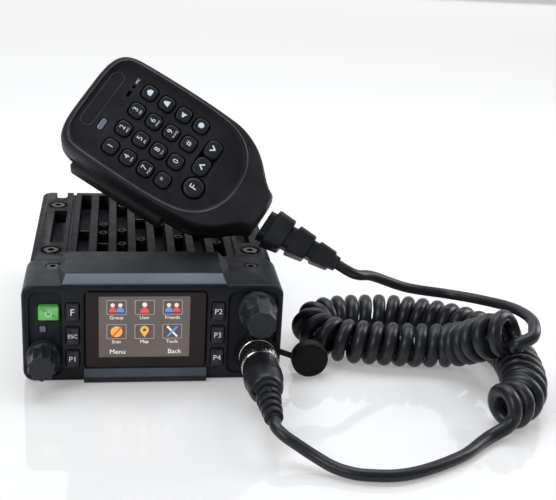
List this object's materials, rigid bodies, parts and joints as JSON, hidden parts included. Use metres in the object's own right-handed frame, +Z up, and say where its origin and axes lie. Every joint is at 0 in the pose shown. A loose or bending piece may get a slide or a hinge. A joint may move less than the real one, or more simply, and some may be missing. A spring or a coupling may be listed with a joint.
{
  "type": "mobile transceiver",
  "caption": "Compact mobile two-way radio with a colour display and a keypad speaker microphone on a coiled cord.",
  "frame": {"origin": "on the underside of the radio, below the joint between the screens and the heatsink, midway across", "axes": "+X to the right, +Y from the front face to the rear, +Z up"},
  "size_m": [0.2379, 0.2381, 0.1325],
  "materials": {
    "housing": "fine satin texture",
    "casting": "matt textured black paint",
    "knob": "satin",
    "key": "matt",
    "power": "satin green",
    "window": "polished",
    "lcd": "lit display",
    "nickel": "nickel plate",
    "screw": "black oxide",
    "board": "solder mask",
    "shaft": "turned",
    "cord": "satin",
    "mic": "fine texture",
    "lens": "clear grey",
    "speaker": "plain"
  },
  "bodies": {
    "root": {"front_housing": "housing", "heatsink_chassis": "casting", "bottom_cover": "casting", "housing_screw_left": "screw", "housing_screw_right": "screw", "flange_screw_front_left": "screw", "flange_screw_front_right": "screw", "flange_screw_rear_left": "screw", "flange_screw_rear_right": "screw", "display_window": "window", "lcd_module": "lcd", "status_led": "lens", "main_board": "board", "loudspeaker": "speaker", "volume_encoder": "shaft", "channel_encoder": "shaft", "mic_socket": "nickel", "plug_body": "cord", "dust_cap": "cord", "antenna_socket": "nickel", "dc_lead_gland": "cord", "cord_lower": "cord", "cord_curl": "cord"},
    "mic": {"mic_front_case": "mic", "mic_rear_case": "mic", "mic_board": "board", "mic_capsule": "speaker", "mic_led_lens": "lens", "mic_strain_relief": "cord", "cord_upper": "cord"},
    "ptt": {"ptt_bar": "key"},
    "volume": {"volume_knob": "knob"},
    "channel": {"channel_knob": "knob"},
    "plug_ring": {"plug_coupling_ring": "nickel"},
    "power_button_body": {"power_button": "power"},
    "key_f_body": {"key_f": "key"},
    "key_esc_body": {"key_esc": "key"},
    "key_p1_body": {"key_p1": "key"},
    "key_p2_body": {"key_p2": "key"},
    "key_p3_body": {"key_p3": "key"},
    "key_p4_body": {"key_p4": "key"},
    "mic_key_1_body": {"mic_key_1": "key"},
    "mic_key_2_body": {"mic_key_2": "key"},
    "mic_key_3_body": {"mic_key_3": "key"},
    "mic_key_a_body": {"mic_key_a": "key"},
    "mic_key_4_body": {"mic_key_4": "key"},
    "mic_key_5_body": {"mic_key_5": "key"},
    "mic_key_6_body": {"mic_key_6": "key"},
    "mic_key_b_body": {"mic_key_b": "key"},
    "mic_key_7_body": {"mic_key_7": "key"},
    "mic_key_8_body": {"mic_key_8": "key"},
    "mic_key_9_body": {"mic_key_9": "key"},
    "mic_key_c_body": {"mic_key_c": "key"},
    "mic_key_star_body": {"mic_key_star": "key"},
    "mic_key_0_body": {"mic_key_0": "key"},
    "mic_key_hash_body": {"mic_key_hash": "key"},
    "mic_key_d_body": {"mic_key_d": "key"},
    "mic_key_up_body": {"mic_key_up": "key"},
    "mic_key_down_body": {"mic_key_down": "key"},
    "mic_key_f_body": {"mic_key_f": "key"}
  },
  "joints": [
    {"name": "power_button_press", "type": "slide", "parent": "root", "child": "power_button_body", "axis": [0, 1, 0], "range_m": [0, 0.0008], "stiffness_N_per_m": 300},
    {"name": "key_f_press", "type": "slide", "parent": "root", "child": "key_f_body", "axis": [0, 1, 0], "range_m": [0, 0.0008], "stiffness_N_per_m": 300},
    {"name": "key_esc_press", "type": "slide", "parent": "root", "child": "key_esc_body", "axis": [0, 1, 0], "range_m": [0, 0.0008], "stiffness_N_per_m": 300},
    {"name": "key_p1_press", "type": "slide", "parent": "root", "child": "key_p1_body", "axis": [0, 1, 0], "range_m": [0, 0.0008], "stiffness_N_per_m": 300},
    {"name": "key_p2_press", "type": "slide", "parent": "root", "child": "key_p2_body", "axis": [0, 1, 0], "range_m": [0, 0.0008], "stiffness_N_per_m": 300},
    {"name": "key_p3_press", "type": "slide", "parent": "root", "child": "key_p3_body", "axis": [0, 1, 0], "range_m": [0, 0.0008], "stiffness_N_per_m": 300},
    {"name": "key_p4_press", "type": "slide", "parent": "root", "child": "key_p4_body", "axis": [0, 1, 0], "range_m": [0, 0.0008], "stiffness_N_per_m": 300},
    {"name": "volume_turn", "type": "hinge", "parent": "root", "child": "volume", "pos_m": [-0.0488, -0.06, 0.0143], "axis": [0, 1, 0], "range_deg": [-150, 150]},
    {"name": "channel_turn", "type": "hinge", "parent": "root", "child": "channel", "pos_m": [0.0458, -0.06, 0.0368], "axis": [0, 1, 0], "continuous": true},
    {"name": "plug_ring_turn", "type": "hinge", "parent": "root", "child": "plug_ring", "pos_m": [0.0472, -0.068, 0.0125], "axis": [0, 1, 0], "range_deg": [0, 360]},
    {"name": "mic_lift", "type": "slide", "parent": "root", "child": "mic", "axis": [0, 0, 1], "range_m": [0, 0.06]},
    {"name": "ptt_press", "type": "hinge", "parent": "mic", "child": "ptt", "pos_m": [0.00352, -0.0144, 0.06072], "axis": [0, 0.809, -0.5878], "range_deg": [0, 2], "stiffness_Nm_per_rad": 0.6},
    {"name": "mic_key_1_press", "type": "slide", "parent": "mic", "child": "mic_key_1_body", "axis": [0, 0.809, -0.5878], "range_m": [0, 0.0008], "stiffness_N_per_m": 300},
    {"name": "mic_key_2_press", "type": "slide", "parent": "mic", "child": "mic_key_2_body", "axis": [0, 0.809, -0.5878], "range_m": [0, 0.0008], "stiffness_N_per_m": 300},
    {"name": "mic_key_3_press", "type": "slide", "parent": "mic", "child": "mic_key_3_body", "axis": [0, 0.809, -0.5878], "range_m": [0, 0.0008], "stiffness_N_per_m": 300},
    {"name": "mic_key_a_press", "type": "slide", "parent": "mic", "child": "mic_key_a_body", "axis": [0, 0.809, -0.5878], "range_m": [0, 0.0008], "stiffness_N_per_m": 300},
    {"name": "mic_key_4_press", "type": "slide", "parent": "mic", "child": "mic_key_4_body", "axis": [0, 0.809, -0.5878], "range_m": [0, 0.0008], "stiffness_N_per_m": 300},
    {"name": "mic_key_5_press", "type": "slide", "parent": "mic", "child": "mic_key_5_body", "axis": [0, 0.809, -0.5878], "range_m": [0, 0.0008], "stiffness_N_per_m": 300},
    {"name": "mic_key_6_press", "type": "slide", "parent": "mic", "child": "mic_key_6_body", "axis": [0, 0.809, -0.5878], "range_m": [0, 0.0008], "stiffness_N_per_m": 300},
    {"name": "mic_key_b_press", "type": "slide", "parent": "mic", "child": "mic_key_b_body", "axis": [0, 0.809, -0.5878], "range_m": [0, 0.0008], "stiffness_N_per_m": 300},
    {"name": "mic_key_7_press", "type": "slide", "parent": "mic", "child": "mic_key_7_body", "axis": [0, 0.809, -0.5878], "range_m": [0, 0.0008], "stiffness_N_per_m": 300},
    {"name": "mic_key_8_press", "type": "slide", "parent": "mic", "child": "mic_key_8_body", "axis": [0, 0.809, -0.5878], "range_m": [0, 0.0008], "stiffness_N_per_m": 300},
    {"name": "mic_key_9_press", "type": "slide", "parent": "mic", "child": "mic_key_9_body", "axis": [0, 0.809, -0.5878], "range_m": [0, 0.0008], "stiffness_N_per_m": 300},
    {"name": "mic_key_c_press", "type": "slide", "parent": "mic", "child": "mic_key_c_body", "axis": [0, 0.809, -0.5878], "range_m": [0, 0.0008], "stiffness_N_per_m": 300},
    {"name": "mic_key_star_press", "type": "slide", "parent": "mic", "child": "mic_key_star_body", "axis": [0, 0.809, -0.5878], "range_m": [0, 0.0008], "stiffness_N_per_m": 300},
    {"name": "mic_key_0_press", "type": "slide", "parent": "mic", "child": "mic_key_0_body", "axis": [0, 0.809, -0.5878], "range_m": [0, 0.0008], "stiffness_N_per_m": 300},
    {"name": "mic_key_hash_press", "type": "slide", "parent": "mic", "child": "mic_key_hash_body", "axis": [0, 0.809, -0.5878], "range_m": [0, 0.0008], "stiffness_N_per_m": 300},
    {"name": "mic_key_d_press", "type": "slide", "parent": "mic", "child": "mic_key_d_body", "axis": [0, 0.809, -0.5878], "range_m": [0, 0.0008], "stiffness_N_per_m": 300},
    {"name": "mic_key_up_press", "type": "slide", "parent": "mic", "child": "mic_key_up_body", "axis": [0, 0.809, -0.5878], "range_m": [0, 0.0008], "stiffness_N_per_m": 300},
    {"name": "mic_key_down_press", "type": "slide", "parent": "mic", "child": "mic_key_down_body", "axis": [0, 0.809, -0.5878], "range_m": [0, 0.0008], "stiffness_N_per_m": 300},
    {"name": "mic_key_f_press", "type": "slide", "parent": "mic", "child": "mic_key_f_body", "axis": [0, 0.809, -0.5878], "range_m": [0, 0.0008], "stiffness_N_per_m": 300}
  ]
}
